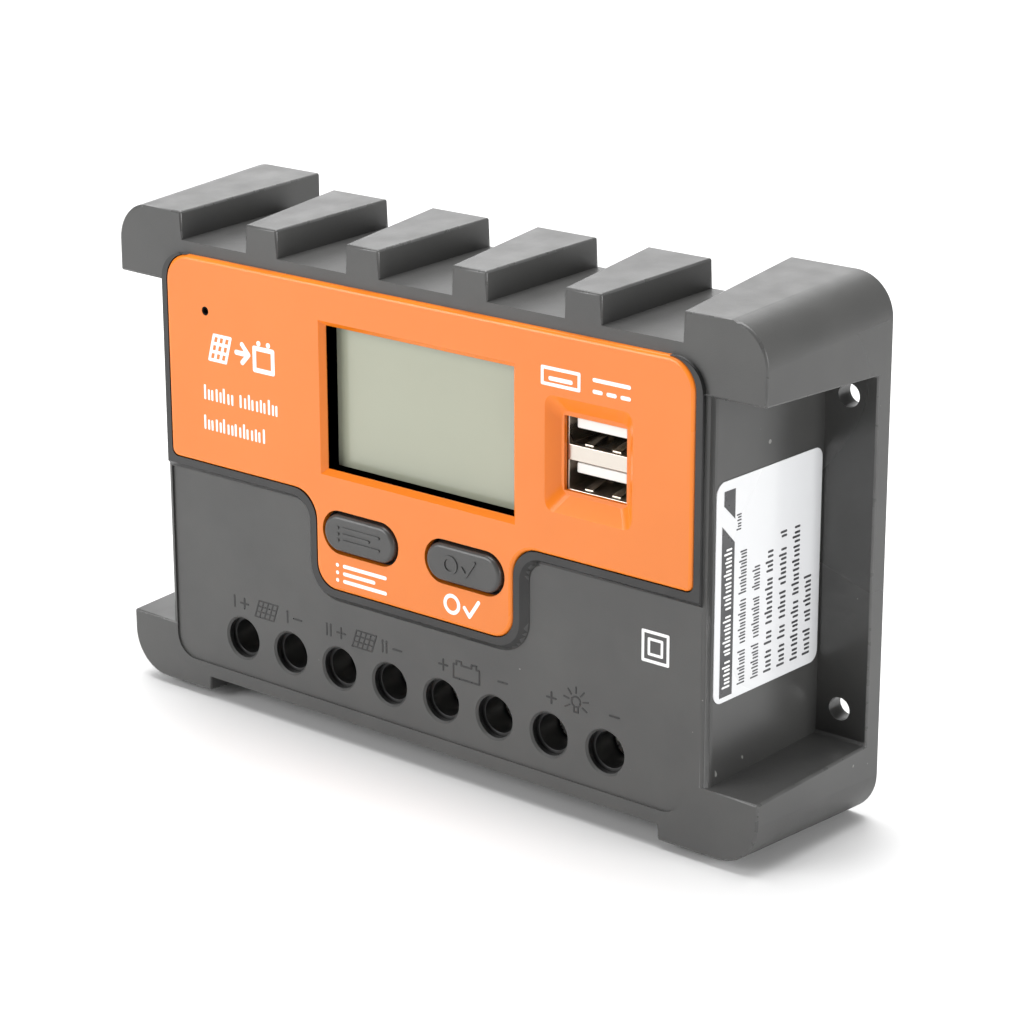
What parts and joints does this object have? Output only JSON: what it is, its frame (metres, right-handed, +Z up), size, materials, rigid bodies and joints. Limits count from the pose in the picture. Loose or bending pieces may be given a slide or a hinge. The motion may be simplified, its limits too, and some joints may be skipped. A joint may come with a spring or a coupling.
{
  "type": "solar charge controller",
  "caption": "Flat wall-mounted controller: dark finned housing with corner ears, coloured T-shaped front plate with display, push buttons, a double USB socket and a row of screw terminals.",
  "frame": {"origin": "bottom centre of the outer box, in the plane of the lower ears' soles", "axes": "+X to the right seen from the front, +Y to the back towards the wall, +Z up"},
  "size_m": [0.15, 0.036, 0.097],
  "materials": {
    "housing_plastic": "fine satin texture",
    "plate_plastic": "smooth satin",
    "button_plastic": "satin",
    "dark_plastic": "moulded",
    "diffuser_plastic": "translucent",
    "display_glass": "polished",
    "tinned_metal": "tinned",
    "board_laminate": "solder mask",
    "screw_steel": "zinc plated",
    "shell_steel": "nickel plated",
    "white_plastic": "moulded",
    "contact_brass": "gold flash",
    "terminal_plastic": "moulded",
    "clamp_brass": "nickel plated",
    "pad_silicone": "soft sheet",
    "can_sleeve": "shrink sleeve",
    "ferrite": "pressed",
    "copper_wire": "enamelled",
    "heat_sink_aluminium": "bead blasted",
    "label_film": "glossy film"
  },
  "bodies": {
    "housing": {"front_housing": "housing_plastic", "face_plate": "plate_plastic", "switch_bodies": "dark_plastic", "lcd_glass": "display_glass", "lcd_frame": "dark_plastic", "lcd_backlight": "diffuser_plastic", "lcd_pins": "tinned_metal", "display_board": "board_laminate", "display_screws": "screw_steel", "header_body": "dark_plastic", "header_pins": "tinned_metal", "status_led": "diffuser_plastic", "light_pipe": "diffuser_plastic", "usb_shell": "shell_steel", "usb_insulator": "white_plastic", "usb_contacts": "contact_brass", "terminal_block": "terminal_plastic", "terminal_lugs": "tinned_metal", "main_board": "board_laminate", "board_screws": "screw_steel", "transistor_bodies": "dark_plastic", "transistor_tabs": "tinned_metal", "transistor_legs": "tinned_metal", "transistor_nuts": "screw_steel", "transistor_screws": "screw_steel", "thermal_pad": "pad_silicone", "capacitors": "can_sleeve", "choke_core": "ferrite", "choke_winding": "copper_wire", "microcontroller": "dark_plastic", "usb_regulator": "dark_plastic", "shunts": "tinned_metal", "rear_plate": "heat_sink_aluminium", "rear_screws": "screw_steel", "side_label": "label_film"},
    "menu_key": {"menu_button": "button_plastic", "menu_plunger": "dark_plastic"},
    "set_key": {"set_button": "button_plastic", "set_plunger": "dark_plastic"},
    "screw_1": {"terminal_screw_1": "screw_steel"},
    "clamp_1": {"terminal_clamp_1": "clamp_brass"},
    "screw_2": {"terminal_screw_2": "screw_steel"},
    "clamp_2": {"terminal_clamp_2": "clamp_brass"},
    "screw_3": {"terminal_screw_3": "screw_steel"},
    "clamp_3": {"terminal_clamp_3": "clamp_brass"},
    "screw_4": {"terminal_screw_4": "screw_steel"},
    "clamp_4": {"terminal_clamp_4": "clamp_brass"},
    "screw_5": {"terminal_screw_5": "screw_steel"},
    "clamp_5": {"terminal_clamp_5": "clamp_brass"},
    "screw_6": {"terminal_screw_6": "screw_steel"},
    "clamp_6": {"terminal_clamp_6": "clamp_brass"},
    "screw_7": {"terminal_screw_7": "screw_steel"},
    "clamp_7": {"terminal_clamp_7": "clamp_brass"},
    "screw_8": {"terminal_screw_8": "screw_steel"},
    "clamp_8": {"terminal_clamp_8": "clamp_brass"}
  },
  "joints": [
    {"name": "menu_press", "type": "slide", "parent": "housing", "child": "menu_key", "axis": [0, 1, 0], "range_m": [0, 0.0005], "stiffness_N_per_m": 400, "springref_m": -0.0005},
    {"name": "set_press", "type": "slide", "parent": "housing", "child": "set_key", "axis": [0, 1, 0], "range_m": [0, 0.0005], "stiffness_N_per_m": 400, "springref_m": -0.0005},
    {"name": "screw_1_turn", "type": "hinge", "parent": "housing", "child": "screw_1", "pos_m": [-0.04458, 0, 0.0143], "axis": [0, 1, 0], "range_deg": [0, 1080]},
    {"name": "clamp_1_rise", "type": "slide", "parent": "housing", "child": "clamp_1", "axis": [0, -1, 0], "range_m": [0, 0.0021]},
    {"name": "screw_2_turn", "type": "hinge", "parent": "housing", "child": "screw_2", "pos_m": [-0.03225, 0, 0.0143], "axis": [0, 1, 0], "range_deg": [0, 1080]},
    {"name": "clamp_2_rise", "type": "slide", "parent": "housing", "child": "clamp_2", "axis": [0, -1, 0], "range_m": [0, 0.0021]},
    {"name": "screw_3_turn", "type": "hinge", "parent": "housing", "child": "screw_3", "pos_m": [-0.01992, 0, 0.0143], "axis": [0, 1, 0], "range_deg": [0, 1080]},
    {"name": "clamp_3_rise", "type": "slide", "parent": "housing", "child": "clamp_3", "axis": [0, -1, 0], "range_m": [0, 0.0021]},
    {"name": "screw_4_turn", "type": "hinge", "parent": "housing", "child": "screw_4", "pos_m": [-0.00759, 0, 0.0143], "axis": [0, 1, 0], "range_deg": [0, 1080]},
    {"name": "clamp_4_rise", "type": "slide", "parent": "housing", "child": "clamp_4", "axis": [0, -1, 0], "range_m": [0, 0.0021]},
    {"name": "screw_5_turn", "type": "hinge", "parent": "housing", "child": "screw_5", "pos_m": [0.00474, 0, 0.0143], "axis": [0, 1, 0], "range_deg": [0, 1080]},
    {"name": "clamp_5_rise", "type": "slide", "parent": "housing", "child": "clamp_5", "axis": [0, -1, 0], "range_m": [0, 0.0021]},
    {"name": "screw_6_turn", "type": "hinge", "parent": "housing", "child": "screw_6", "pos_m": [0.01707, 0, 0.0143], "axis": [0, 1, 0], "range_deg": [0, 1080]},
    {"name": "clamp_6_rise", "type": "slide", "parent": "housing", "child": "clamp_6", "axis": [0, -1, 0], "range_m": [0, 0.0021]},
    {"name": "screw_7_turn", "type": "hinge", "parent": "housing", "child": "screw_7", "pos_m": [0.0294, 0, 0.0143], "axis": [0, 1, 0], "range_deg": [0, 1080]},
    {"name": "clamp_7_rise", "type": "slide", "parent": "housing", "child": "clamp_7", "axis": [0, -1, 0], "range_m": [0, 0.0021]},
    {"name": "screw_8_turn", "type": "hinge", "parent": "housing", "child": "screw_8", "pos_m": [0.04173, 0, 0.0143], "axis": [0, 1, 0], "range_deg": [0, 1080]},
    {"name": "clamp_8_rise", "type": "slide", "parent": "housing", "child": "clamp_8", "axis": [0, -1, 0], "range_m": [0, 0.0021]}
  ],
  "couplings": [
    {"joint": "screw_1_turn", "follows": "clamp_1_rise", "rad_per_m": 8976},
    {"joint": "screw_2_turn", "follows": "clamp_2_rise", "rad_per_m": 8976},
    {"joint": "screw_3_turn", "follows": "clamp_3_rise", "rad_per_m": 8976},
    {"joint": "screw_4_turn", "follows": "clamp_4_rise", "rad_per_m": 8976},
    {"joint": "screw_5_turn", "follows": "clamp_5_rise", "rad_per_m": 8976},
    {"joint": "screw_6_turn", "follows": "clamp_6_rise", "rad_per_m": 8976},
    {"joint": "screw_7_turn", "follows": "clamp_7_rise", "rad_per_m": 8976},
    {"joint": "screw_8_turn", "follows": "clamp_8_rise", "rad_per_m": 8976}
  ]
}
